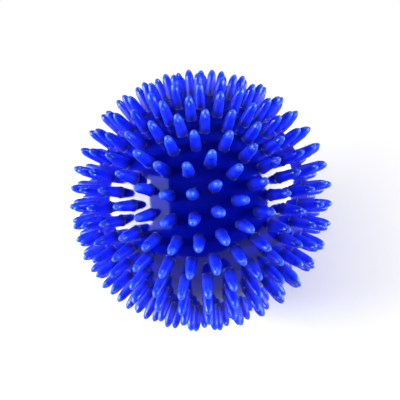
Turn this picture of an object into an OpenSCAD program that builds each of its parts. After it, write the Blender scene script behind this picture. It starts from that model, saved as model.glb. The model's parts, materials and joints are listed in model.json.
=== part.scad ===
// Spiky massage ball: a hollow, air-filled PVC skin with solid spikes moulded on it
// in level rings, and a push-in valve plug in the equator ring.
// The origin is the centre of the ball. +Z runs through the spike at the pole of the
// rings, and +Y runs through the valve.

/* [Ball] */
// Diameter of the skin between the spikes
skin_d = 82; // [76:1:90]
// Thickness of the skin
wall = 1.8; // [1.2:0.1:2.4]

/* [Spikes] */
// Height of a spike above the skin
spike_h = 9; // [6:0.5:11]
// Diameter of a spike's flared foot where it leaves the skin
spike_flare_d = 4.4; // [4.2:0.1:5.4]
// Diameter of a spike above its foot
spike_root_d = 3.8; // [3.5:0.1:4.2]
// Diameter of a spike at its shoulder, where the nose begins
spike_shoulder_d = 3.3; // [2.8:0.1:3.4]
// Diameter of a spike's blunt tip
spike_tip_d = 2.4; // [1.8:0.1:2.6]
// How far the root of a spike is sunk into the skin
spike_sink = 0.4; // [0.3:0.1:0.8]

/* [Valve] */
// Diameter of the bore that the plug's stem fits
valve_bore_d = 4; // [3:0.1:4.4]
// Outer diameter of the valve seat in the skin
seat_d = 7.6; // [7:0.1:8]
// Length of the valve seat
seat_l = 7.4; // [6:0.2:10]
// Radial clearance of the stem in the bore
stem_clear = 0.05; // [0.03:0.01:0.1]
// Diameter of the plug's head
head_d = 6.4; // [5.6:0.1:6.6]

/* [Hidden] */

$fn = 48;
eps = 0.01;
skin_r = skin_d / 2;
inner_r = skin_r - wall;

// The rings lie a constant angle apart, from the top spike to the bottom one, and the
// spikes along a ring are as near that angle apart as a whole number allows.
ring_gaps = 18;
ring_step = 180 / ring_gaps;
equator_ring = ring_gaps / 2;
// The two rings nearest the top spike line up. From there down, each ring starts half its
// own spacing past the start of the ring above it.
first_staggered = 3;
// Where the equator ring starts about Z, in degrees: a whole number of its spacings, so that
// one of its spikes would stand on +Y, and the valve takes its place
equator_start = 4 * ring_step;

// Spike profile, from the sunk root up: a flared foot, a tapering shaft, and a nose whose
// side runs smoothly into the ball of the tip
spike_l = spike_h + spike_sink;
flare_r = spike_flare_d / 2;
root_r = spike_root_d / 2;
shoulder_r = spike_shoulder_d / 2;
tip_r = spike_tip_d / 2;
foot_z = spike_sink + spike_h / 10;
shoulder_z = spike_sink + spike_h * 0.6;
ball_z = spike_l - tip_r;
nose_l = ball_z - shoulder_z;
ball_gap = sqrt(nose_l * nose_l + shoulder_r * shoulder_r);
side_lean = atan2(shoulder_r, nose_l) - asin(tip_r / ball_gap);
touch_r = tip_r * cos(side_lean);
touch_z = ball_z + tip_r * sin(side_lean);

// Valve, measured along its own axis from the centre of the ball
seat_out = skin_r - 0.8;
seat_in = seat_out - seat_l;
flange_d = 11;
flange_t = 1.2;
flange_out = sqrt(inner_r * inner_r - flange_d * flange_d / 4);
bore_r = valve_bore_d / 2;
stem_r = bore_r - stem_clear;
stem_in = seat_in - 1.2;
stem_round = 0.8;
nail_gap = 0.5;
nail_depth = 0.5;
rim_t = 0.8;
head_rise = 0.35;
crown_r = (head_d * head_d / 4 + head_rise * head_rise) / (2 * head_rise);

function ring_count(k) = max(1, round(ring_gaps * 2 * sin(k * ring_step)));
function spacing(k) = 360 / ring_count(k);
function stagger(k) = k < first_staggered ? 0 : stagger(k - 1) + spacing(k) / 2;
function ring_start(k) = equator_start + stagger(k) - stagger(equator_ring);
function spike_turn(k, i) = ring_start(k) + spacing(k) * i;
function spike_dir(k, i) = [
    sin(k * ring_step) * cos(spike_turn(k, i)),
    sin(k * ring_step) * sin(spike_turn(k, i)),
    cos(k * ring_step)
];
// Whether the valve takes this spike's place
function at_valve(k, i) = spike_dir(k, i) * [0, 1, 0] > cos(ring_step / 2);

module spike() {
    cylinder(h = foot_z, r1 = flare_r, r2 = root_r);
    translate([0, 0, foot_z])
        cylinder(h = shoulder_z - foot_z, r1 = root_r, r2 = shoulder_r);
    translate([0, 0, shoulder_z])
        cylinder(h = touch_z - shoulder_z, r1 = shoulder_r, r2 = touch_r);
    translate([0, 0, ball_z])
        sphere(r = tip_r);
}

module spike_ring(k) {
    color("blue")
        for (i = [0 : ring_count(k) - 1])
            if (!at_valve(k, i))
                rotate([0, k * ring_step, spike_turn(k, i)])
                    translate([0, 0, skin_r - spike_sink])
                        spike();
}

module on_valve_axis() {
    rotate([-90, 0, 0])
        children();
}

module ball_skin() {
    color("mediumblue")
        difference() {
            sphere(r = skin_r, $fn = 96);
            sphere(r = inner_r, $fn = 96);
            on_valve_axis()
                translate([0, 0, seat_in])
                    cylinder(h = seat_l + wall, d = seat_d);
        }
}

module valve_seat() {
    color("royalblue")
        on_valve_axis()
            difference() {
                union() {
                    translate([0, 0, seat_in])
                        cylinder(h = seat_l, d = seat_d);
                    translate([0, 0, flange_out - flange_t])
                        cylinder(h = flange_t, d = flange_d);
                }
                translate([0, 0, seat_in - eps])
                    cylinder(h = seat_l + 2 * eps, r = bore_r);
            }
}

module valve_plug() {
    color("royalblue")
        on_valve_axis() {
            translate([0, 0, stem_in + stem_round])
                cylinder(h = seat_out + nail_gap - stem_in - stem_round, r = stem_r);
            translate([0, 0, stem_in])
                cylinder(h = stem_round, r1 = stem_r - stem_round, r2 = stem_r);
            translate([0, 0, seat_out])
                cylinder(h = nail_gap, d = head_d - 2 * nail_depth);
            translate([0, 0, seat_out + nail_gap])
                cylinder(h = rim_t, d = head_d);
            translate([0, 0, seat_out + nail_gap + rim_t])
                intersection() {
                    translate([0, 0, head_rise - crown_r])
                        sphere(r = crown_r);
                    cylinder(h = head_rise, d = head_d);
                }
        }
}

ball_skin();
spike_ring(0);  // top_spike
spike_ring(1);  // spike_ring_01
spike_ring(2);  // spike_ring_02
spike_ring(3);  // spike_ring_03
spike_ring(4);  // spike_ring_04
spike_ring(5);  // spike_ring_05
spike_ring(6);  // spike_ring_06
spike_ring(7);  // spike_ring_07
spike_ring(8);  // spike_ring_08
spike_ring(9);  // spike_ring_09
spike_ring(10);  // spike_ring_10
spike_ring(11);  // spike_ring_11
spike_ring(12);  // spike_ring_12
spike_ring(13);  // spike_ring_13
spike_ring(14);  // spike_ring_14
spike_ring(15);  // spike_ring_15
spike_ring(16);  // spike_ring_16
spike_ring(17);  // spike_ring_17
spike_ring(18);  // bottom_spike
valve_seat();
valve_plug();
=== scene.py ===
import json
import math

import bmesh
import bpy
from bpy.props import FloatProperty, FloatVectorProperty, IntProperty, PointerProperty
from mathutils import Matrix, Vector

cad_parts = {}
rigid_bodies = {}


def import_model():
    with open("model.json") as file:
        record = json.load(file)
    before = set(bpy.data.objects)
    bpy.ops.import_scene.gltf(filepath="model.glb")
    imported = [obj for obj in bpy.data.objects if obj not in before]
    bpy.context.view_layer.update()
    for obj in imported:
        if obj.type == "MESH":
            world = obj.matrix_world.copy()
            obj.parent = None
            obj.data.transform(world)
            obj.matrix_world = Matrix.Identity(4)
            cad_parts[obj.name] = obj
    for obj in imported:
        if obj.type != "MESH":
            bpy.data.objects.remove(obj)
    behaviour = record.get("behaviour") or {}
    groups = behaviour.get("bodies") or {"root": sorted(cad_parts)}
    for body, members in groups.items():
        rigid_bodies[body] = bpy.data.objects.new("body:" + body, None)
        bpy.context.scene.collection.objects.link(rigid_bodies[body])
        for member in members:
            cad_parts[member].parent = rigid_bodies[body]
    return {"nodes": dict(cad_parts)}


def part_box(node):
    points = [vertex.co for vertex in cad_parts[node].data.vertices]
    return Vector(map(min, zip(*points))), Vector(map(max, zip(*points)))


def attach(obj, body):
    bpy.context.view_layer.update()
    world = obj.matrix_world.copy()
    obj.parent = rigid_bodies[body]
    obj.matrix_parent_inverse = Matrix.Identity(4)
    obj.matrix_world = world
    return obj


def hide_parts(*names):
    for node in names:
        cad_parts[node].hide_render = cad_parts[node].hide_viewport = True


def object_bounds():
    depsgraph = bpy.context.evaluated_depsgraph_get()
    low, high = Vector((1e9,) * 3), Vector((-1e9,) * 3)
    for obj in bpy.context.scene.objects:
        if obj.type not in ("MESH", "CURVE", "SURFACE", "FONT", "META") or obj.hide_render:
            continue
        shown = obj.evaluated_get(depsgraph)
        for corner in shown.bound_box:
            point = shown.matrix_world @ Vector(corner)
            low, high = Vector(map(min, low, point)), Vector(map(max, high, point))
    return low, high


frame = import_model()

bl_info = {
    "name": "Spiky massage ball",
    "version": (1, 0, 0),
    "blender": (4, 5, 0),
    "location": "View3D > Sidebar > Massage Ball",
    "description": "Builds the skin, spikes, valve and studio stage of a spiky massage ball",
    "category": "Object",
}

CAD_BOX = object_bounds()
MM = 0.001
# Points of a mesh that are nearer than this are one point
TOUCHING = 0.001 * MM

# What the frame says about the ball
SKIN_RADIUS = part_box("ball_skin")[1].z
TIP_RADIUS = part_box("top_spike")[1].z
SEAT_LOW, SEAT_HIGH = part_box("valve_seat")
PLUG_LOW, PLUG_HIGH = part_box("valve_plug")
VALVE_AXIS = Vector((0, 1, 0))
SPIKE_NODES = sorted(name for name in frame["nodes"] if "spike" in name)


# ---------------------------------------------------------------- settings

def sized(name, description, default):
    """A length that a user may change."""
    return FloatProperty(name=name, description=description, default=default, min=0.0, precision=5,
                         subtype="DISTANCE", unit="LENGTH")


def coloured(name, description, default):
    """A colour that a user may change."""
    return FloatVectorProperty(name=name, description=description, default=default, min=0, max=1,
                               size=3, subtype="COLOR")


def bright(name, description, default):
    """A brightness that a user may change."""
    return FloatProperty(name=name, description=description, default=default, min=0.0)


class BallSizes(bpy.types.PropertyGroup):
    """Sizes of the skin and the spikes"""
    skin_radius: sized("Skin radius", "Radius of the skin between the spikes", SKIN_RADIUS)
    tip_radius: sized("Tip radius", "Distance of the spike tips from the centre", TIP_RADIUS)
    wall: sized("Wall", "Thickness of the hollow skin", 1.8 * MM)
    flare_radius: sized("Flare radius", "Radius of a spike's root where it leaves the skin", 2.12 * MM)
    flare_height: sized("Flare height", "Height over which the root narrows to the shaft", 0.9 * MM)
    shaft_radius: sized("Shaft radius", "Radius of a spike just above its flared root", 1.86 * MM)
    shoulder_radius: sized("Shoulder radius", "Radius of a spike where its round end begins", 1.62 * MM)
    end_length: sized("End length", "Length of a spike's round end", 3.8 * MM)
    bend: FloatProperty(
        name="Bend", description="How far a spike's tip bends aside, as a part of the ball's radius",
        default=0.005, min=0, max=0.05, subtype="FACTOR")
    shrink: FloatProperty(
        name="Shrink", description="Most that a spike falls short of its full height",
        default=0.012, min=0, max=0.2, subtype="FACTOR")
    seed: IntProperty(name="Seed", description="Seed of the bend and the shrink", default=4)


class ValveSizes(bpy.types.PropertyGroup):
    """Sizes of the valve, apart from those that the frame gives"""
    seat_radius: sized("Seat radius", "Radius of the seat's tube and of its hole in the skin", 3.8 * MM)
    bore_radius: sized("Bore radius", "Radius of the bore that the stem fills", 2.0 * MM)
    flange: sized("Flange", "Thickness of the seat's flange behind the skin", 1.2 * MM)
    seat_edge: sized("Seat edge", "Radius of the seat's rounded edges", 0.25 * MM)
    pad_radius: sized("Pad radius", "Outer radius of the ring moulded round the hole", 5.4 * MM)
    pad_rise: sized("Pad rise", "Height and edge radius of the ring moulded round the hole", 0.3 * MM)
    stem_radius: sized("Stem radius", "Radius of the plug's stem", 1.95 * MM)
    stem_round: sized("Stem round", "Radius of the stem's round end", 0.8 * MM)
    neck_radius: sized("Neck radius", "Radius of the neck between stem and head", 2.7 * MM)
    nail_gap: sized("Nail gap", "Gap under the head for a fingernail", 0.5 * MM)
    head_edge: sized("Head edge", "Radius of the head's rounded edges", 0.2 * MM)
    crown_rise: sized("Crown rise", "Height of the head's low crown", 0.35 * MM)
    groove_inner: sized("Groove inner", "Inner radius of the groove in the crown", 1.3 * MM)
    groove_outer: sized("Groove outer", "Outer radius of the groove in the crown", 1.7 * MM)
    groove_depth: sized("Groove depth", "Depth of the groove and width of its slopes", 0.12 * MM)


class BallColours(bpy.types.PropertyGroup):
    """Colours of the moulded plastic"""
    # The depth colour is painted shade: the skin and the spike roots are darker than the spikes as shade
    # between the spikes
    depth: coloured("Depth", "Colour of the skin, deep between the spikes", (0.0008, 0.004, 0.32))
    body: coloured("Body", "Colour along the spikes", (0.0025, 0.023, 0.94))
    tip: coloured("Tip", "Colour of the thin, slightly clouded spike tips", (0.02, 0.09, 0.84))
    valve: coloured("Valve", "Colour of the valve seat and plug", (0.003, 0.012, 0.55))


class StageSettings(bpy.types.PropertyGroup):
    """The camera, the floor and the lights"""
    view_distance: sized("View distance", "Camera's distance from the ball's centre", 0.1825)
    view_height: FloatProperty(
        name="View height", description="Camera's angle above the floor",
        default=math.radians(56.7), subtype="ANGLE", unit="ROTATION")
    view_roll: FloatProperty(
        name="View roll", description="How far the camera is rolled about its own axis",
        default=math.radians(15.6), subtype="ANGLE", unit="ROTATION")
    view_shift: FloatVectorProperty(
        name="View shift", description="Camera's shift across and up, in widths of the frame",
        default=(-0.003, 0.0013), size=2)
    lens: FloatProperty(
        name="Lens", description="Focal length on a sensor 36 mm wide",
        default=41.64, min=10, subtype="DISTANCE_CAMERA")
    floor: coloured("Floor", "Colour of the floor", (0.86, 0.86, 0.87))
    surround: bright("Surround", "Brightness of the studio's walls as the ball sees them", 0.03)
    floor_glare: bright("Floor glare", "Brightness of the floor as the ball sees it", 0.8)
    glare: bright("Glare", "Brightness of the soft boxes as the skin's gloss reflects them", 22.0)
    light: bright("Light", "Brightness of the soft boxes as they light the ball", 7.0)


# ---------------------------------------------------------------- helpers

def scene_object(name, mesh):
    """A new object at the origin, linked into the scene."""
    piece = bpy.data.objects.new(name, mesh)
    bpy.context.scene.collection.objects.link(piece)
    return piece


def lathe_mesh(name, profile, segments):
    """A surface of revolution about Z. The profile is (radius, height) points, listed so that
    the outside lies to the right of the path as it climbs. A point on the axis is one vertex."""
    mesh = bmesh.new()
    rows = []
    turns = [math.tau * i / segments for i in range(segments)]
    for radius, height in profile:
        if radius < TOUCHING:
            rows.append([mesh.verts.new((0, 0, height))])
            continue
        rows.append([mesh.verts.new((radius * math.cos(t), radius * math.sin(t), height))
                     for t in turns])
    for low, high in zip(rows, rows[1:]):
        for i in range(segments):
            j = (i + 1) % segments
            corners = (low[i % len(low)], low[j % len(low)], high[j % len(high)], high[i % len(high)])
            face = list(dict.fromkeys(corners))
            if len(face) > 2:
                mesh.faces.new(face)
    for face in mesh.faces:
        face.smooth = True
    data = bpy.data.meshes.new(name)
    mesh.to_mesh(data)
    mesh.free()
    return data


def arc(centre, radius, start, end, steps):
    """Points on an arc, from one angle to the other, both ends included. Degrees."""
    points = []
    for i in range(steps + 1):
        angle = math.radians(start + (end - start) * i / steps)
        points.append((centre[0] + radius * math.cos(angle), centre[1] + radius * math.sin(angle)))
    return points


def turn_to_valve(data):
    """Turns a mesh made about Z so that its axis is the valve's."""
    data.transform(VALVE_AXIS.to_track_quat("Z", "Y").to_matrix().to_4x4())


def finish_piece(piece, body, node):
    """Says what a finished piece rides on and what it stands for."""
    if not piece.data.polygons:
        raise RuntimeError(piece.name + " has no faces")
    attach(piece, body)
    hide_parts(node)


# ---------------------------------------------------------------- materials

def new_group(name, inputs, outputs):
    """A shader node group with its sockets. Each socket is (name, kind, default)."""
    tree = bpy.data.node_groups.new(name, "ShaderNodeTree")
    for label, kind, value in inputs:
        socket = tree.interface.new_socket(label, in_out="INPUT", socket_type=kind)
        socket.default_value = value
    for label, kind in outputs:
        tree.interface.new_socket(label, in_out="OUTPUT", socket_type=kind)
    return tree, tree.nodes.new("NodeGroupInput"), tree.nodes.new("NodeGroupOutput")


def add_math(tree, operation, first, second=None, clamp=False):
    """A Math node whose inputs are sockets or numbers. Returns its output."""
    node = tree.nodes.new("ShaderNodeMath")
    node.operation = operation
    node.use_clamp = clamp
    for slot, value in zip(node.inputs, (first, second)):
        if isinstance(value, bpy.types.NodeSocket):
            tree.links.new(value, slot)
        elif value is not None:
            slot.default_value = value
    return node.outputs[0]


def add_ramp(tree, value, low, high, to_low=0.0, to_high=1.0):
    """A smooth step of a value between two limits, which are sockets or numbers."""
    node = tree.nodes.new("ShaderNodeMapRange")
    node.interpolation_type = "SMOOTHSTEP"
    tree.links.new(value, node.inputs["Value"])
    limits = (("From Min", low), ("From Max", high), ("To Min", to_low), ("To Max", to_high))
    for label, limit in limits:
        if isinstance(limit, bpy.types.NodeSocket):
            tree.links.new(limit, node.inputs[label])
        else:
            node.inputs[label].default_value = limit
    return node.outputs["Result"]


def add_mix(tree, factor, first, second):
    """A colour mix. Returns its output."""
    node = tree.nodes.new("ShaderNodeMix")
    node.data_type = "RGBA"
    tree.links.new(factor, node.inputs["Factor"])
    tree.links.new(first, node.inputs["A"])
    tree.links.new(second, node.inputs["B"])
    return node.outputs["Result"]


def add_blend(tree, factor, first, second):
    """A mix of two shaders. Returns its output."""
    node = tree.nodes.new("ShaderNodeMixShader")
    tree.links.new(factor, node.inputs["Fac"])
    tree.links.new(first, node.inputs[1])
    tree.links.new(second, node.inputs[2])
    return node.outputs["Shader"]


def add_noise(tree, vector, scale, detail, roughness=0.5):
    """A noise texture. Returns its value."""
    node = tree.nodes.new("ShaderNodeTexNoise")
    node.inputs["Scale"].default_value = scale
    node.inputs["Detail"].default_value = detail
    node.inputs["Roughness"].default_value = roughness
    tree.links.new(vector, node.inputs["Vector"])
    return node.outputs["Fac"]


def build_moulded_group():
    """Soft moulded plastic, seen by its distance from the ball's centre: a darker colour at the skin,
    which is painted shade between the spikes, full colour along the spikes and a clouded tip, with
    mottling, finger smudges, a slightly wavy surface, fine grain and hairline scuffs."""
    tree, given, result = new_group(
        "Moulded plastic",
        [("Shaded Depth Colour", "NodeSocketColor", (0, 0, 0.1, 1)),
         ("Body Colour", "NodeSocketColor", (0, 0, 0.8, 1)),
         ("Tip Colour", "NodeSocketColor", (0, 0, 0.9, 1)),
         ("Skin Radius", "NodeSocketFloat", SKIN_RADIUS),
         ("Tip Radius", "NodeSocketFloat", TIP_RADIUS),
         ("Skin Roughness", "NodeSocketFloat", 0.07),
         ("Spike Roughness", "NodeSocketFloat", 0.3),
         ("Tip Roughness", "NodeSocketFloat", 0.2),
         ("Mottle", "NodeSocketFloat", 0.15),
         ("Smudge", "NodeSocketFloat", 0.08),
         ("Wave", "NodeSocketFloat", 1.0),
         ("Wear", "NodeSocketFloat", 0.1)],
        [("Colour", "NodeSocketColor"), ("Roughness", "NodeSocketFloat"), ("Height", "NodeSocketFloat")])
    links = tree.links
    place = tree.nodes.new("ShaderNodeTexCoord").outputs["Object"]
    length = tree.nodes.new("ShaderNodeVectorMath")
    length.operation = "LENGTH"
    links.new(place, length.inputs[0])
    above = add_math(tree, "SUBTRACT", length.outputs["Value"], given.outputs["Skin Radius"])
    full = add_math(tree, "SUBTRACT", given.outputs["Tip Radius"], given.outputs["Skin Radius"])
    rise = add_math(tree, "DIVIDE", above, full, clamp=True)

    mottle = add_noise(tree, place, scale=95.0, detail=4.0, roughness=0.6)
    smudge = add_noise(tree, place, scale=45.0, detail=5.0, roughness=0.65)
    wave = add_noise(tree, place, scale=55.0, detail=1.0)
    grain = add_noise(tree, place, scale=1500.0, detail=2.0)
    stretch = tree.nodes.new("ShaderNodeMapping")
    stretch.inputs["Rotation"].default_value = (0.5, 0.3, 0.9)
    stretch.inputs["Scale"].default_value = (1.0, 0.06, 0.35)
    links.new(place, stretch.inputs["Vector"])
    streaks = add_noise(tree, stretch.outputs["Vector"], scale=1400.0, detail=3.0)
    hairs = add_ramp(tree, streaks, 0.62, 0.72)

    # Colour: the darker depth colour at the skin is painted shade between the spikes; it turns to the
    # body colour over the root, body to tip over the round end, then mottling
    centred = add_math(tree, "SUBTRACT", mottle, 0.5)
    uneven = add_math(tree, "MULTIPLY", centred, given.outputs["Mottle"])
    shifted = add_math(tree, "ADD", rise, uneven)
    out_of_painted_shade = add_ramp(tree, shifted, 0.02, 0.42)
    to_tip = add_ramp(tree, shifted, 0.55, 1.05)
    colour = add_mix(tree, out_of_painted_shade, given.outputs["Shaded Depth Colour"], given.outputs["Body Colour"])
    colour = add_mix(tree, to_tip, colour, given.outputs["Tip Colour"])
    shade = tree.nodes.new("ShaderNodeHueSaturation")
    links.new(colour, shade.inputs["Color"])
    links.new(add_math(tree, "ADD", uneven, 1.0), shade.inputs["Value"])
    links.new(shade.outputs["Color"], result.inputs["Colour"])

    # Roughness: a clean skin, dull roots and glossy tips, smudged by handling and scuffed
    tip_wear = add_math(tree, "MULTIPLY", add_ramp(tree, rise, 0.82, 1.0), given.outputs["Wear"])
    handled = add_math(tree, "MULTIPLY", add_ramp(tree, smudge, 0.45, 0.75), given.outputs["Smudge"])
    scuffs = add_math(tree, "MULTIPLY", hairs, given.outputs["Wear"])
    spike, tip = given.outputs["Spike Roughness"], given.outputs["Tip Roughness"]
    along = add_ramp(tree, rise, 0.35, 0.9, spike, tip)
    gloss = add_ramp(tree, rise, 0.0, 0.012, given.outputs["Skin Roughness"], along)
    rough = add_math(tree, "ADD", gloss, handled)
    rough = add_math(tree, "ADD", rough, tip_wear)
    links.new(add_math(tree, "ADD", rough, scuffs, clamp=True), result.inputs["Roughness"])

    # Height: the slow waves of a cast skin, a fine grain, and scuffs cut in
    grain_height, scuff_height = 0.012, -0.05
    waves = add_math(tree, "MULTIPLY", wave, given.outputs["Wave"])
    height = add_math(tree, "ADD", waves, add_math(tree, "MULTIPLY", grain, grain_height))
    cut = add_math(tree, "MULTIPLY", scuffs, scuff_height)
    links.new(add_math(tree, "ADD", height, cut), result.inputs["Height"])
    return tree


def build_plastic(name, group, values, specular, subsurface, bump_distance):
    """A moulded plastic material with its own values in the shared group."""
    material = bpy.data.materials.new(name)
    material.use_nodes = True
    tree = material.node_tree
    shader = tree.nodes["Principled BSDF"]
    surface = tree.nodes.new("ShaderNodeGroup")
    surface.node_tree = group
    for label, value in values.items():
        surface.inputs[label].default_value = value
    bump = tree.nodes.new("ShaderNodeBump")
    bump.inputs["Strength"].default_value = 1.0
    bump.inputs["Distance"].default_value = bump_distance
    tree.links.new(surface.outputs["Height"], bump.inputs["Height"])
    tree.links.new(surface.outputs["Colour"], shader.inputs["Base Color"])
    tree.links.new(surface.outputs["Roughness"], shader.inputs["Roughness"])
    tree.links.new(bump.outputs["Normal"], shader.inputs["Normal"])
    shader.inputs["IOR"].default_value = 1.5
    shader.inputs["Specular IOR Level"].default_value = specular
    shader.inputs["Subsurface Weight"].default_value = subsurface
    shader.inputs["Subsurface Radius"].default_value = (0.3, 0.4, 1.0)
    shader.inputs["Subsurface Scale"].default_value = 1.5 * MM
    return material


def opaque(colour):
    """An RGBA colour from an RGB one."""
    return (*colour, 1.0)


def moulded_group():
    """The shared shader group, made once."""
    return bpy.data.node_groups.get("Moulded plastic") or build_moulded_group()


def build_ball_plastic(name, **values):
    """The plastic of the skin or the spikes, with how uneven and how worn it is."""
    colours = bpy.context.scene.ball_colours
    sizes = bpy.context.scene.ball_sizes
    values.update({
        # The depth colour darkens the skin and the spike roots as painted shade between the spikes
        "Shaded Depth Colour": opaque(colours.depth),
        "Body Colour": opaque(colours.body),
        "Tip Colour": opaque(colours.tip),
        "Skin Radius": sizes.skin_radius,
        "Tip Radius": sizes.tip_radius,
        "Skin Roughness": 0.08,
        "Spike Roughness": 0.5,
        "Tip Roughness": 0.1,
    })
    return build_plastic(name, moulded_group(), values,
                         specular=0.38, subsurface=0.15, bump_distance=0.25 * MM)


def build_valve_plastic(name):
    """The plastic of the valve: one colour and one satin roughness all over."""
    valve = opaque(bpy.context.scene.ball_colours.valve)
    satin = 0.22
    values = {
        "Shaded Depth Colour": valve, "Body Colour": valve, "Tip Colour": valve,
        "Skin Radius": 0.0, "Tip Radius": 1.0,
        "Skin Roughness": satin, "Spike Roughness": satin, "Tip Roughness": satin,
        "Mottle": 0.25, "Smudge": 0.12, "Wave": 0.3, "Wear": 0.2,
    }
    return build_plastic(name, moulded_group(), values,
                         specular=0.4, subsurface=0.1, bump_distance=0.2 * MM)


def plastic(kind):
    """The material of the skin, the spikes or the valve, made once."""
    made = bpy.data.materials.get(kind)
    if made:
        return made
    if kind == "skin_plastic":
        return build_ball_plastic(kind, Mottle=0.15, Smudge=0.05, Wave=3.0, Wear=0.06)
    if kind == "spike_plastic":
        return build_ball_plastic(kind, Mottle=0.3, Smudge=0.12, Wave=1.0, Wear=0.2)
    return build_valve_plastic(kind)


# ---------------------------------------------------------------- pieces

def build_skin(sizes, valve):
    """The hollow skin, turned about the valve's axis: inner face, hole for the valve seat,
    a low moulded ring round it, and the outer face."""
    outer, inner = sizes.skin_radius, sizes.skin_radius - sizes.wall
    hole, rise = valve.seat_radius, valve.pad_rise
    pad_top = valve.pad_radius - 2 * rise
    inner_start = math.degrees(math.acos(hole / inner))
    outer_start = math.degrees(math.acos(valve.pad_radius / outer))
    profile = [(0.0, -inner)] + arc((0, 0), inner, -90, inner_start, 64)[1:]
    face = math.sqrt(outer ** 2 - hole ** 2) + rise
    profile += [(hole, face - rise)]
    profile += arc((hole + rise, face - rise), rise, 180, 90, 4)[1:]
    crown = (pad_top, math.sqrt(outer ** 2 - pad_top ** 2) + rise)
    dip = 0.02 * MM
    profile += [((hole + rise + pad_top) / 2, face - dip), crown]
    profile += arc((0, 0), outer, outer_start, -90, 88)[:-1] + [(0.0, -outer)]
    data = lathe_mesh("ball_skin_visual", profile, 128)
    turn_to_valve(data)
    return data


# A spike's hollow-sided foot, as shares of the flare's spread and of its height
FLARE_CURVE = ((1.0, 0.0), (0.56, 0.1), (0.2, 0.37), (0.0, 1.0))
# Where the rows of a spike's round end lie, in degrees
END_ANGLES = (0, 26, 49, 71, 90)


def spike_profile(sizes):
    """A spike's outline as (radius, height above the skin): a flared root that leaves the skin
    flat, a tapering shaft, and a round end."""
    sunk = 0.03 * MM
    foot = math.sqrt(sizes.skin_radius ** 2 - sizes.flare_radius ** 2) - sizes.skin_radius - sunk
    spread = sizes.flare_radius - sizes.shaft_radius
    profile = [(sizes.shaft_radius + out * spread, foot + rise * (sizes.flare_height - foot))
               for out, rise in FLARE_CURVE]
    shoulder = sizes.tip_radius - sizes.skin_radius - sizes.end_length
    for angle in map(math.radians, END_ANGLES):
        profile.append((sizes.shoulder_radius * math.cos(angle),
                        shoulder + sizes.end_length * math.sin(angle)))
    return profile


def spike_ways(node):
    """The direction of each spike in a CAD node, from the middle of each of its solids."""
    mesh = bmesh.new()
    mesh.from_mesh(frame["nodes"][node].data)
    bmesh.ops.remove_doubles(mesh, verts=mesh.verts, dist=TOUCHING)
    seen = set()
    ways = []
    for first in mesh.faces:
        if first in seen:
            continue
        seen.add(first)
        solid = [first]
        for face in solid:
            beside = [other for edge in face.edges for other in edge.link_faces
                      if other not in seen]
            seen.update(beside)
            solid.extend(dict.fromkeys(beside))
        middle = sum((face.calc_center_median() * face.calc_area() for face in solid), Vector())
        ways.append(middle.normalized())
    mesh.free()
    return ways


def random_value(nodes, kind, least, most):
    """A Random Value node of a kind, with its limits."""
    node = nodes.new("FunctionNodeRandomValue")
    node.data_type = kind
    socket = "VALUE" if kind == "FLOAT" else "VECTOR"
    input_of(node, "Min", socket).default_value = least
    input_of(node, "Max", socket).default_value = most
    return node


def input_of(node, name, kind):
    """The input of a node that has several of one name, by its kind."""
    return next(s for s in node.inputs if s.name == name and s.type == kind)


def output_of(node, kind):
    """The output of a node that has several, by its kind."""
    return next(s for s in node.outputs if s.type == kind)


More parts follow.
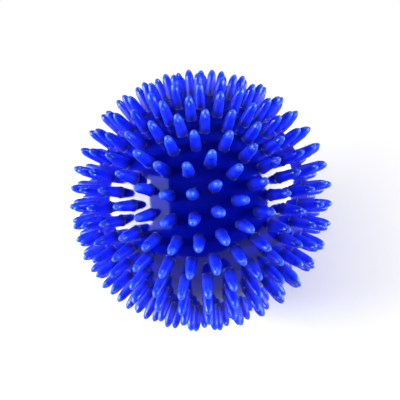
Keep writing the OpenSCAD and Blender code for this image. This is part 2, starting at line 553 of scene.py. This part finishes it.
def build_ring_tree():
    """Geometry nodes that stand a spike on each point, away from the ball's centre, each
    bent and shrunk a little at random."""
    tree = bpy.data.node_groups.new("Spike ring", "GeometryNodeTree")
    tree.is_modifier = True
    for label, kind in (("Geometry", "Geometry"), ("Spike", "Object"), ("Low", "Float"),
                        ("High", "Float"), ("Bend", "Float"), ("Shrink", "Float"),
                        ("Seed", "Int"), ("Material", "Material")):
        tree.interface.new_socket(label, in_out="INPUT", socket_type="NodeSocket" + kind)
    tree.interface.new_socket("Geometry", in_out="OUTPUT", socket_type="NodeSocketGeometry")
    nodes, links = tree.nodes, tree.links
    given, result = nodes.new("NodeGroupInput"), nodes.new("NodeGroupOutput")
    spike = nodes.new("GeometryNodeObjectInfo")
    spike.inputs["As Instance"].default_value = True
    links.new(given.outputs["Spike"], spike.inputs["Object"])
    outward = nodes.new("FunctionNodeAlignRotationToVector")
    outward.axis = "Z"
    links.new(nodes.new("GeometryNodeInputPosition").outputs[0], outward.inputs["Vector"])
    stand = nodes.new("GeometryNodeInstanceOnPoints")
    links.new(given.outputs["Geometry"], stand.inputs["Points"])
    links.new(spike.outputs["Geometry"], stand.inputs["Instance"])
    links.new(outward.outputs["Rotation"], stand.inputs["Rotation"])

    # Any turn about the spike's own axis
    spin = nodes.new("ShaderNodeCombineXYZ")
    angle = random_value(nodes, "FLOAT", 0.0, math.tau)
    links.new(given.outputs["Seed"], angle.inputs["Seed"])
    links.new(output_of(angle, "VALUE"), spin.inputs["Z"])
    turned = nodes.new("GeometryNodeRotateInstances")
    links.new(stand.outputs[0], turned.inputs["Instances"])
    links.new(spin.outputs[0], turned.inputs["Rotation"])

    # Random shrink along the spike
    short = nodes.new("ShaderNodeMath")
    short.operation = "SUBTRACT"
    short.inputs[0].default_value = 1.0
    links.new(given.outputs["Shrink"], short.inputs[1])
    tall = random_value(nodes, "FLOAT", 0.0, 1.0)
    links.new(short.outputs[0], input_of(tall, "Min", "VALUE"))
    links.new(given.outputs["Seed"], tall.inputs["Seed"])
    scale = nodes.new("ShaderNodeCombineXYZ")
    scale.inputs["X"].default_value = 1.0
    scale.inputs["Y"].default_value = 1.0
    links.new(output_of(tall, "VALUE"), scale.inputs["Z"])
    sized = nodes.new("GeometryNodeScaleInstances")
    links.new(turned.outputs[0], sized.inputs["Instances"])
    links.new(scale.outputs[0], sized.inputs["Scale"])

    # A sideways bend that grows from nothing at the root, the same all over one spike
    aside = random_value(nodes, "FLOAT_VECTOR", (-1.0, -1.0, -1.0), (1.0, 1.0, 1.0))
    links.new(given.outputs["Seed"], aside.inputs["Seed"])
    kept = nodes.new("GeometryNodeCaptureAttribute")
    kept.domain = "INSTANCE"
    kept.capture_items.new("VECTOR", "Aside")
    links.new(sized.outputs[0], kept.inputs["Geometry"])
    links.new(output_of(aside, "VECTOR"), kept.inputs["Aside"])
    real = nodes.new("GeometryNodeRealizeInstances")
    links.new(kept.outputs["Geometry"], real.inputs["Geometry"])
    place = nodes.new("GeometryNodeInputPosition").outputs[0]
    across = nodes.new("ShaderNodeVectorMath")
    across.operation = "CROSS_PRODUCT"
    links.new(kept.outputs["Aside"], across.inputs[0])
    links.new(place, across.inputs[1])
    length = nodes.new("ShaderNodeVectorMath")
    length.operation = "LENGTH"
    links.new(place, length.inputs[0])
    rise = nodes.new("ShaderNodeMapRange")
    rise.interpolation_type = "SMOOTHSTEP"
    links.new(length.outputs["Value"], rise.inputs["Value"])
    links.new(given.outputs["Low"], rise.inputs["From Min"])
    links.new(given.outputs["High"], rise.inputs["From Max"])
    links.new(given.outputs["Bend"], rise.inputs["To Max"])
    shift = nodes.new("ShaderNodeVectorMath")
    shift.operation = "SCALE"
    links.new(across.outputs[0], shift.inputs[0])
    links.new(rise.outputs["Result"], shift.inputs["Scale"])
    bent = nodes.new("GeometryNodeSetPosition")
    links.new(real.outputs[0], bent.inputs["Geometry"])
    links.new(shift.outputs[0], bent.inputs["Offset"])
    finish = nodes.new("GeometryNodeSetMaterial")
    links.new(bent.outputs[0], finish.inputs["Geometry"])
    links.new(given.outputs["Material"], finish.inputs["Material"])
    links.new(finish.outputs[0], result.inputs["Geometry"])
    return tree


def set_inputs(modifier, values):
    """Sets a geometry nodes modifier's inputs by their names."""
    for item in modifier.node_group.interface.items_tree:
        if item.in_out == "INPUT" and item.name in values:
            modifier[item.identifier] = values[item.name]


def build_ring(node, seed, tree, spike, sizes):
    """One ring of spikes as a plain mesh."""
    name = node + "_visual"
    flush = 0.01 * MM
    points = bpy.data.meshes.new(name + "_points")
    points.from_pydata([way * sizes.skin_radius for way in spike_ways(node)], [], [])
    holder = scene_object(name + "_holder", points)
    modifier = holder.modifiers.new("Spikes", "NODES")
    modifier.node_group = tree
    set_inputs(modifier, {
        "Spike": spike, "Low": sizes.skin_radius, "High": sizes.tip_radius, "Bend": sizes.bend,
        "Shrink": sizes.shrink, "Seed": seed, "Material": plastic("spike_plastic")})
    grown = holder.evaluated_get(bpy.context.evaluated_depsgraph_get())
    data = bpy.data.meshes.new_from_object(grown)
    data.name = name
    bpy.data.objects.remove(holder)

    # The feet are shaded like the skin that they stand on
    low = sizes.skin_radius + flush
    data.normals_split_custom_set_from_vertices(
        [v.co.normalized() if v.co.length < low else v.normal for v in data.vertices])
    return scene_object(name, data)


def build_seat(sizes, valve):
    """The valve seat: a tube with rounded edges and a flange behind the skin."""
    face, back = SEAT_HIGH.y, SEAT_LOW.y
    bore, tube, edge = valve.bore_radius, valve.seat_radius, valve.seat_edge
    flange = (SEAT_HIGH.x - SEAT_LOW.x) / 2
    flange_face = math.sqrt((sizes.skin_radius - sizes.wall) ** 2 - flange ** 2)
    flange_back = flange_face - valve.flange
    profile = arc((bore + edge, back + edge), edge, 180, 270, 3)
    profile += arc((tube - edge, back + edge), edge, -90, 0, 3)
    profile += [(tube, flange_back)]
    profile += arc((flange - edge, flange_back + edge), edge, -90, 0, 3)
    profile += arc((flange - edge, flange_face - edge), edge, 0, 90, 3)
    profile += [(tube, flange_face)]
    profile += arc((tube - edge, face - edge), edge, 0, 90, 3)
    profile += arc((bore + edge, face - edge), edge, 90, 180, 3)
    profile += [profile[0]]
    data = lathe_mesh("valve_seat_visual", profile, 64)
    merge(data)
    turn_to_valve(data)
    return data


def build_plug(valve):
    """The plug: a round-ended stem, a neck that a fingernail fits under, and a low crown with
    a moulded groove in it."""
    tip, top = PLUG_LOW.y, PLUG_HIGH.y
    seat_face = SEAT_HIGH.y
    stem, neck, rim = valve.stem_radius, valve.neck_radius, (PLUG_HIGH.x - PLUG_LOW.x) / 2
    edge, rise, round_end = valve.head_edge, valve.crown_rise, valve.stem_round
    rim_low, rim_high = seat_face + valve.nail_gap, top - rise
    loop, bevel = 0.1 * MM, 0.05 * MM
    profile = [(0.0, tip)]
    profile += arc((stem - round_end, tip + round_end), round_end, -90, 0, 6)
    profile += [(stem, seat_face - loop), (stem, seat_face), (neck, seat_face)]
    profile += [(neck, rim_low - bevel), (neck + bevel, rim_low)]
    profile += arc((rim - edge, rim_low + edge), edge, -90, 0, 3)
    profile += arc((rim - edge, rim_high - edge), edge, 0, 75, 3)
    crown = (rim ** 2 + rise ** 2) / (2 * rise)
    inner, outer, deep = valve.groove_inner, valve.groove_outer, valve.groove_depth
    grooved = (outer, (inner + outer) / 2, inner)
    for radius in (rim * 0.86, rim * 0.72, outer + deep, *grooved, inner - deep, inner * 0.5, 0.0):
        sag = crown - math.sqrt(crown ** 2 - radius ** 2)
        dip = deep if radius in grooved else 0.0
        profile.append((radius, top - sag - dip))
    data = lathe_mesh("valve_plug_visual", profile, 64)
    turn_to_valve(data)
    return data


def merge(data):
    """Joins doubled points of a mesh and turns its faces outwards."""
    mesh = bmesh.new()
    mesh.from_mesh(data)
    bmesh.ops.remove_doubles(mesh, verts=mesh.verts, dist=TOUCHING)
    bmesh.ops.recalc_face_normals(mesh, faces=mesh.faces)
    mesh.to_mesh(data)
    mesh.free()


# ---------------------------------------------------------------- stage

def view_axes(stage):
    """The camera's own axes in the frame: to the right, up, and from the ball to the camera."""
    back = Vector((0, -math.cos(stage.view_height), math.sin(stage.view_height)))
    flat_right = Vector((1, 0, 0))
    flat_up = back.cross(flat_right)
    right = flat_right * math.cos(stage.view_roll) - flat_up * math.sin(stage.view_roll)
    up = flat_up * math.cos(stage.view_roll) + flat_right * math.sin(stage.view_roll)
    return right, up, back


def build_camera(stage):
    """The camera, which looks at the ball's centre."""
    right, up, back = view_axes(stage)
    data = bpy.data.cameras.new("Camera")
    data.sensor_width = 36
    data.lens = stage.lens
    data.clip_start = 0.01
    data.clip_end = 20
    data.shift_x, data.shift_y = stage.view_shift
    camera = bpy.data.objects.new("Camera", data)
    bpy.context.scene.collection.objects.link(camera)
    turn = Matrix((right, up, back)).transposed().to_4x4()
    camera.matrix_world = Matrix.Translation(back * stage.view_distance) @ turn
    bpy.context.scene.camera = camera


def lit_pieces(name, pieces):
    """A collection of the pieces that a light shines on."""
    lit = bpy.data.collections.new(name)
    for piece in pieces:
        lit.objects.link(piece)
    return lit


# Soft boxes, as their distance from the ball's centre, their width and their height
WIDE_BOX = (0.35, 0.33, 0.26)
TALL_BOX = (0.35, 0.16, 0.3)
NEAR_BOX = (0.22, 0.24, 0.14)
SMALL_BOX = (0.35, 0.1, 0.1)
SIDE_BOX = (0.4, 0.36, 0.2)
FAR_BOX = (0.6, 0.4, 0.4)

# How bright the softer boxes are, as shares of the glare or of the light
HALO, SHEEN, GLINT = 0.2, 0.35, 1.2
LEFT, RIGHT, FRONT, BACK = 3.3, 2.8, 0.2, 0.5

WHITE = (1.0, 1.0, 1.0)
HALO_BLUE = (0.42, 0.5, 1.0)
GLINT_BLUE = (0.75, 0.93, 1.0)


def add_box_light(name, way, upright, box, brightness, gloss_on=None, tint=WHITE):
    """A rectangular soft box that faces the ball from a direction. Its power follows from its
    brightness, so that its size can be changed alone. With gloss_on, a collection, it only
    shows in the gloss of those pieces. Without, it only lights the colour of everything."""
    distance, width, height = box
    data = bpy.data.lights.new(name, "AREA")
    data.shape = "RECTANGLE"
    data.size, data.size_y = width, height
    data.energy = brightness * math.pi * width * height
    data.color = tint
    light = bpy.data.objects.new(name, data)
    bpy.context.scene.collection.objects.link(light)
    back = way.normalized()
    side = upright.cross(back).normalized()
    turn = Matrix((side, back.cross(side), back)).transposed().to_4x4()
    light.matrix_world = Matrix.Translation(back * distance) @ turn
    light.visible_camera = False
    light.visible_diffuse = not gloss_on
    light.visible_glossy = bool(gloss_on)
    light.light_linking.receiver_collection = gloss_on


def build_lights(stage):
    """Soft boxes round the ball. Two strong ones and a bluish halo show in the skin's gloss,
    weaker sheens and four small glints show in that of the spikes and the valve, and four
    plain ones, left, right, in front and behind, light the colour."""
    right, up, back = view_axes(stage)

    def towards(side, lift):
        """The way to a light that stands so many degrees aside of the camera and above it."""
        across = math.radians(side)
        raised = math.radians(lift)
        flat = back * math.cos(across) + right * math.sin(across)
        return flat * math.cos(raised) + up * math.sin(raised)

    skins, others = [], []
    for piece in bpy.context.scene.objects:
        if piece.name.endswith("_visual"):
            (skins if piece.name.startswith("ball_skin") else others).append(piece)
    skin = lit_pieces("Skin", skins)
    spikes = lit_pieces("Spikes and valve", others)
    left_way, right_way = towards(-76, -2), towards(92, 8)
    sheen = stage.glare * SHEEN
    add_box_light("Left glare", left_way, up, WIDE_BOX, stage.glare, skin)
    add_box_light("Left halo", towards(-44, -2), up, TALL_BOX, stage.glare * HALO, skin, HALO_BLUE)
    add_box_light("Right glare", right_way, up, NEAR_BOX, stage.glare, skin)
    add_box_light("Left sheen", left_way, up, WIDE_BOX, sheen, spikes)
    add_box_light("Right sheen", right_way, up, NEAR_BOX, sheen, spikes)
    for name, way in (("Left glint", towards(-52, 6)), ("Right glint", towards(48, -4)),
                      ("High glint", towards(6, 60)), ("Low glint", towards(-6, -57))):
        add_box_light(name, way, up, SMALL_BOX, stage.glare * GLINT, spikes, GLINT_BLUE)
    add_box_light("Left light", towards(-82, 0), up, SIDE_BOX, stage.light * LEFT)
    add_box_light("Right light", towards(80, 4), up, SIDE_BOX, stage.light * RIGHT)
    add_box_light("Front light", towards(0, 10), up, FAR_BOX, stage.light * FRONT)
    behind, upright = Vector((0.2, 1.0, 0.3)), Vector((0, 0, 1))
    add_box_light("Back light", behind, upright, FAR_BOX, stage.light * BACK)


def build_floor(stage, low):
    """A plain pale floor under the ball, which runs out into white."""
    half = 3.0
    white_from, white_all = 0.06, 0.15
    dim_behind, bright_before, dim_share = 0.03, -0.06, 0.1
    data = bpy.data.meshes.new("floor")
    corners = [(-half, -half), (half, -half), (half, half), (-half, half)]
    data.from_pydata([(x, y, low) for x, y in corners], [], [(0, 1, 2, 3)])
    floor = scene_object("floor", data)
    material = bpy.data.materials.new("floor_paint")
    material.use_nodes = True
    tree = material.node_tree
    shader = tree.nodes["Principled BSDF"]
    shader.inputs["Roughness"].default_value = 0.9
    shader.inputs["Specular IOR Level"].default_value = 0.1
    place = tree.nodes.new("ShaderNodeTexCoord").outputs["Object"]
    tone = tree.nodes.new("ShaderNodeMix")
    tone.data_type = "RGBA"
    tone.inputs["A"].default_value = opaque(stage.floor)
    tone.inputs["B"].default_value = opaque([c * 0.985 for c in stage.floor])
    tree.links.new(add_noise(tree, place, scale=6.0, detail=2.0), tone.inputs["Factor"])
    tree.links.new(tone.outputs["Result"], shader.inputs["Base Color"])

    # Far from the ball the floor is plain white
    apart = tree.nodes.new("ShaderNodeVectorMath")
    apart.operation = "LENGTH"
    tree.links.new(place, apart.inputs[0])
    far = add_ramp(tree, apart.outputs["Value"], white_from, white_all)
    plain = tree.nodes.new("ShaderNodeEmission")
    plain.inputs["Color"].default_value = opaque(WHITE)
    paper = add_blend(tree, far, shader.outputs["BSDF"], plain.outputs["Emission"])

    # The ball sees a bluish floor of its own, bright in front of it and dim behind it
    parts = tree.nodes.new("ShaderNodeSeparateXYZ")
    tree.links.new(place, parts.inputs[0])
    dim = tree.nodes.new("ShaderNodeEmission")
    dim.inputs["Color"].default_value = opaque((0.75, 0.8, 1.0))
    fade = add_ramp(tree, parts.outputs["Y"], bright_before, dim_behind,
                    stage.floor_glare, stage.floor_glare * dim_share)
    tree.links.new(fade, dim.inputs["Strength"])
    direct = tree.nodes.new("ShaderNodeLightPath").outputs["Is Camera Ray"]
    seen = add_blend(tree, direct, dim.outputs["Emission"], paper)
    tree.links.new(seen, tree.nodes["Material Output"].inputs["Surface"])
    data.materials.append(material)


def build_world(stage):
    """A surround that is white to the camera and dim to the ball, dimmest on the camera's
    side."""
    dim_from, dim_all = math.cos(math.radians(70)), math.cos(math.radians(35))
    dim_share = 0.08
    world = bpy.data.worlds.new("Studio")
    world.use_nodes = True
    tree = world.node_tree
    background = tree.nodes["Background"]
    background.inputs["Color"].default_value = opaque(WHITE)
    place = tree.nodes.new("ShaderNodeTexCoord")
    facing = tree.nodes.new("ShaderNodeVectorMath")
    facing.operation = "DOT_PRODUCT"
    facing.inputs[1].default_value = view_axes(stage)[2]
    tree.links.new(place.outputs["Generated"], facing.inputs[0])
    lit = add_ramp(tree, facing.outputs["Value"], dim_from, dim_all,
                   stage.surround, stage.surround * dim_share)
    direct = tree.nodes.new("ShaderNodeLightPath").outputs["Is Camera Ray"]
    tree.links.new(add_math(tree, "MAXIMUM", lit, direct), background.inputs["Strength"])
    bpy.context.scene.world = world


# ---------------------------------------------------------------- operators

class MASSAGE_OT_skin(bpy.types.Operator):
    """Build the hollow skin"""
    bl_idname = "massage.skin"
    bl_label = "Skin"

    def execute(self, context):
        data = build_skin(context.scene.ball_sizes, context.scene.valve_sizes)
        data.materials.append(plastic("skin_plastic"))
        finish_piece(scene_object("ball_skin_visual", data), "ball", "ball_skin")
        return {"FINISHED"}


class MASSAGE_OT_spikes(bpy.types.Operator):
    """Build the rings of spikes"""
    bl_idname = "massage.spikes"
    bl_label = "Spikes"

    def execute(self, context):
        if not SPIKE_NODES:
            raise RuntimeError("the frame has no spikes")
        sizes = context.scene.ball_sizes
        tree = build_ring_tree()
        spike = scene_object("spike_shape", lathe_mesh("spike_shape", spike_profile(sizes), 12))
        for seed, node in enumerate(SPIKE_NODES, sizes.seed):
            finish_piece(build_ring(node, seed, tree, spike, sizes), "ball", node)
        bpy.data.objects.remove(spike)
        return {"FINISHED"}


class MASSAGE_OT_valve(bpy.types.Operator):
    """Build the valve seat and its plug"""
    bl_idname = "massage.valve"
    bl_label = "Valve"

    def execute(self, context):
        valve = context.scene.valve_sizes
        seat, plug = build_seat(context.scene.ball_sizes, valve), build_plug(valve)
        for data in (seat, plug):
            data.materials.append(plastic("valve_plastic"))
        finish_piece(scene_object("valve_seat_visual", seat), "ball", "valve_seat")
        finish_piece(scene_object("valve_plug_visual", plug), "plug", "valve_plug")
        return {"FINISHED"}


class MASSAGE_OT_stage(bpy.types.Operator):
    """Build the floor, the surround, the lights and the camera"""
    bl_idname = "massage.stage"
    bl_label = "Stage"

    def execute(self, context):
        stage = context.scene.ball_stage
        build_floor(stage, CAD_BOX[0].z)
        build_world(stage)
        build_lights(stage)
        build_camera(stage)
        context.scene.view_settings.view_transform = "Standard"
        return {"FINISHED"}


class MASSAGE_PT_panel(bpy.types.Panel):
    """Everything the massage ball is made of"""
    bl_label = "Massage Ball"
    bl_idname = "MASSAGE_PT_panel"
    bl_space_type = "VIEW_3D"
    bl_region_type = "UI"
    bl_category = "Massage Ball"

    def draw(self, context):
        scene = context.scene
        for group, kind in GROUPS.items():
            box = self.layout.box()
            box.label(text=kind.__doc__)
            for name in kind.__annotations__:
                box.prop(getattr(scene, group), name)
        for operator in OPERATORS:
            self.layout.operator(operator.bl_idname)


GROUPS = {"ball_sizes": BallSizes, "valve_sizes": ValveSizes, "ball_colours": BallColours,
          "ball_stage": StageSettings}
OPERATORS = (MASSAGE_OT_skin, MASSAGE_OT_spikes, MASSAGE_OT_valve, MASSAGE_OT_stage)


def register():
    for group in GROUPS.values():
        bpy.utils.register_class(group)
    for operator in OPERATORS:
        bpy.utils.register_class(operator)
    bpy.utils.register_class(MASSAGE_PT_panel)
    for name, group in GROUPS.items():
        setattr(bpy.types.Scene, name, PointerProperty(type=group))


def unregister():
    for name in GROUPS:
        delattr(bpy.types.Scene, name)
    bpy.utils.unregister_class(MASSAGE_PT_panel)
    for cls in OPERATORS + tuple(GROUPS.values()):
        bpy.utils.unregister_class(cls)


def main():
    register()
    bpy.ops.massage.skin()
    bpy.ops.massage.spikes()
    bpy.ops.massage.valve()
    bpy.ops.massage.stage()


if __name__ == "__main__":
    main()
